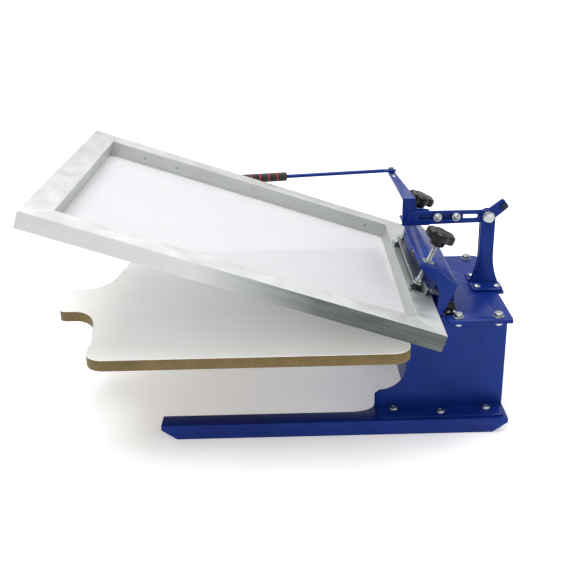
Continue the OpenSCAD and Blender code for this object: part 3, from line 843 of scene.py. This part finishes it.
def make_screw(name, node, body, side, zinc):
    """Smooth stem through the bar, a collar on top of the bar, and the thread up into the knob."""
    base = screw_frame(side)
    low = BAR_TOP + 0.8
    collar = [(3.9, low), (5.6, low), (6.0, low + 0.4)]
    collar += [(6.0, low + 3.6), (5.6, low + 4), (3.9, low + 4)]
    stem = [(3.5, FOOT_TOP + 0.7), (4.0, FOOT_TOP + 1.2), (4.0, BAR_TOP + 7), (3.5, BAR_TOP + 7.5)]
    parts = [
        moved(lathe(stem, 32), base),
        moved(lathe(collar, 40), base),
        moved(threaded(8, 1.25, BAR_TOP + 7, 99, sides=28), base),
    ]
    make_piece(name, parts, body, zinc, node)


def make_clamp_hardware(zinc, rubber):
    """Washers on the hood, nuts under it, and the feet that carry the pressure bar."""
    washer_low, washer_middle = 55.7, 56.5
    nut_low, nut_middle = 46.2, 49.4
    foot = [(7.0, 8.0), (8.6, 8.0), (9.0, 8.4), (9.0, 10.0), (8.5, 10.5), (6.4, 10.6)]
    foot += [(5.6, 11.4), (5.4, 17.2), (5.1, FOOT_TOP), (4.0, FOOT_TOP)]
    disc = shifted(washer(4.8, 10, WASHER), z=washer_low)
    hexagonal = shifted(nut(15, 6.5, 4.3), z=nut_low)
    washers, nuts, feet = [], [], []
    for side in (-1, 1):
        washers.append(moved(disc, on_screw_axis(side, washer_middle)))
        nuts.append(moved(hexagonal, on_screw_axis(side, nut_middle)))
        feet.append(moved(lathe(foot, 40), on_screw_axis(side, FOOT_TOP)))
    make_piece("hood_washers", washers, "screen_carrier", zinc, "clamp_washers")
    make_piece("hood_nuts", nuts, "screen_carrier", zinc, "clamp_nuts")
    make_piece("rubber_feet", feet, "press_bar", rubber, "pressure_feet")


# ---- Springs, mesh and bumper ----


def make_lift_spring(side, word, steel):
    """Torsion spring round the hinge shaft, with a leg that lies on the top plate."""
    radius, wire, inner, outer, turns = 7.6, 1.4, 63.5, 90.5, 8
    plate_top, hinge_height = 190, HINGE.z * 1000
    plate = plate_top - hinge_height
    y = side * inner
    coil = helix(radius, inner, outer, turns, side * math.pi / 2)
    leg = [(radius, y, 0), (radius, y, plate + 2.5), (9, y, plate + wire), (16, y, plate + wire)]
    at_hinge = Matrix.Translation(HINGE)
    parts = [
        moved(tube(coil, wire), at_hinge @ (FACE_Y if side > 0 else FACE_BACK_Y)),
        moved(tube(leg, wire), at_hinge),
    ]
    make_piece(f"lift_coil_{word}", parts, "base", steel, f"lift_spring_{word}")


def make_pad_spring(side, word, steel):
    """Small spring between a pressure pad and its pin on the hood."""
    radius, wire, turns = 3.8, 0.7, 8
    pad, pin, clearance = -42.0, -15.3, 1.0
    y, height = side * 108, 14
    along_x = Matrix.Rotation(math.pi / 2, 4, "Y")
    coil = helix(radius, pad + clearance, pin - clearance, turns)
    parts = [moved(tube(coil, wire, 8), CARRIER @ place(0, y, height) @ along_x)]
    make_piece(
        f"pad_coil_{word}", parts, "screen_carrier", steel, f"pad_spring_{word}"
    )


def grid_lines(outer, inner, border, count):
    """Lines across the mesh: two at each glued edge, and count cells between the bars."""
    start, end = inner
    cells = [start + (end - start) * i / count for i in range(count)]
    return [outer[0], outer[0] + border, *cells, end, outer[1] - border, outer[1]]


def is_glued(cell, lines):
    """True for the two outermost cells at either end of a row of grid lines."""
    return cell < 2 or cell > len(lines) - 4


def make_mesh(fabric, glue):
    """The stretched mesh, glued under the frame bars along its border."""
    border, height = 12, -19.9
    xs = grid_lines((-626.0, -46.0), (-601.0, -71.0), border, 40)
    ys = grid_lines((-239.0, 239.0), (-214.0, 214.0), border, 32)
    points = [CARRIER @ (Vector((x, y, height)) / 1000) for x in xs for y in ys]
    faces, glued = [], []
    for i in range(len(xs) - 1):
        for j in range(len(ys) - 1):
            a = i * len(ys) + j
            faces.append((a, a + len(ys), a + len(ys) + 1, a + 1))
            glued.append(is_glued(i, xs) or is_glued(j, ys))
    parts = [(points, faces)]
    sheet = make_piece("stretched_mesh", parts, "screen_frame", fabric, "screen_mesh")
    sheet.data.materials.append(glue)
    for polygon, under_bar in zip(sheet.data.polygons, glued):
        polygon.material_index = int(under_bar)
    thick = sheet.modifiers.new("cloth_thickness", "SOLIDIFY")
    thick.thickness = 0.0002
    thick.offset = 0


def make_bumper(rubber):
    """Rubber stop on the lever's tail."""
    bumper = solids("tail_bumper")[0]
    low, high = bumper.low.y, bumper.high.y
    rings = [(2.5, low), (4.1, low), (4.5, low + 0.5), (4.5, low + 4.6)]
    rings += [(4.5, high - 5), (4.5, high - 0.5), (4.1, high), (2.5, high)]
    parts = [moved(lathe(rings, 32), place(bumper.centre.x, 0, bumper.centre.z, FACE_Y))]
    make_piece("rubber_bumper", parts, "lever", rubber, "tail_bumper")


# ---- The press ----

make_camera()
make_studio()

blue = powder_coat("blue_powder_coat", (0.004, 0.018, 0.15), (0.006, 0.026, 0.2))
zinc = plated_steel("zinc_plate", (0.34, 0.37, 0.37), (0.58, 0.6, 0.6), 0.24, 0.4)
galvanised = galvanised_steel()
spring_steel = plated_steel("spring_steel", (0.3, 0.31, 0.33), (0.5, 0.51, 0.53))
black_steel = moulded_plastic("black_enamel", (0.008, 0.008, 0.009), (0.02, 0.02, 0.022), 0.25, 0.4)
plastic = moulded_plastic("black_plastic", (0.003, 0.003, 0.004), (0.008, 0.008, 0.009), 0.16, 0.3)
rubber = moulded_plastic("black_rubber", (0.01, 0.01, 0.011), (0.028, 0.028, 0.03), 0.55, 0.8, 500)
red = moulded_plastic("red_band", (0.28, 0.022, 0.022), (0.36, 0.035, 0.03), 0.5, 0.7)
foam = foam_sleeve()
long_metal = brushed_aluminium("brushed_bar_long", STREAKS_ALONG_X)
cross_metal = brushed_aluminium("brushed_bar_cross", STREAKS_ALONG_Y)
# The near bar's outer side gets painted shade.
side_metal = brushed_aluminium("brushed_bar_near", STREAKS_ALONG_X, painted_side_shade=True)
fabric = mesh_fabric("polyester_mesh", (0.6, 0.605, 0.62), cover=0.75)
glue = mesh_fabric("glued_border", (0.74, 0.73, 0.68))

PAINTED = (
    "rail_near", "rail_far", "side_plate_near", "side_plate_far", "front_panel", "rear_panel",
    "top_plate", "pallet_tray", "clamp_hood", "clamp_jaw", "hinge_ear_near", "hinge_ear_far",
    "post_near", "post_far", "lever_arm", "lever_bracket", "handle_rod",
)
BARS = ("frame_bar_near", "frame_bar_far", "frame_bar_front", "frame_bar_rear")
paint(blue, *PAINTED)
paint(board_edge(), "pallet_board")
paint(laminate(), "pallet_laminate")
paint(side_metal, "frame_bar_near")
paint(long_metal, "frame_bar_far")
paint(cross_metal, "frame_bar_front", "frame_bar_rear")
paint(galvanised, "pressure_bar", "pressure_pads")
paint(black_steel, "hinge_shaft", "hinge_lug_near", "hinge_lug_far", "spring_pins")
soften_edges(PAINTED, 0.0005)
soften_edges(("pressure_bar", "pressure_pads", "pallet_board"), 0.0005)
soften_edges(("pallet_laminate",), 0.0002)
soften_edges(BARS, 0.0006, smooth=False)
soften_edges(("hinge_lug_near", "hinge_lug_far", "hinge_shaft", "spring_pins"), 0.0004)

make_base_fasteners(zinc)
make_tray_bolts(zinc)
make_pallet_screws(zinc)
make_pivot(zinc)
make_arm_fasteners(zinc)
make_rod_bolt(zinc)
make_grip(foam)
make_grip_rings(red)
make_knob("star_knob_near", "knob_near", "near_screw", -1, plastic)
make_knob("star_knob_far", "knob_far", "far_screw", 1, plastic)
make_screw("threaded_screw_near", "clamp_screw_near", "near_screw", -1, zinc)
make_screw("threaded_screw_far", "clamp_screw_far", "far_screw", 1, zinc)
make_clamp_hardware(zinc, rubber)
for side, word in ((-1, "near"), (1, "far")):
    make_lift_spring(side, word, spring_steel)
    make_pad_spring(side, word, spring_steel)
make_mesh(fabric, glue)
make_bumper(rubber)
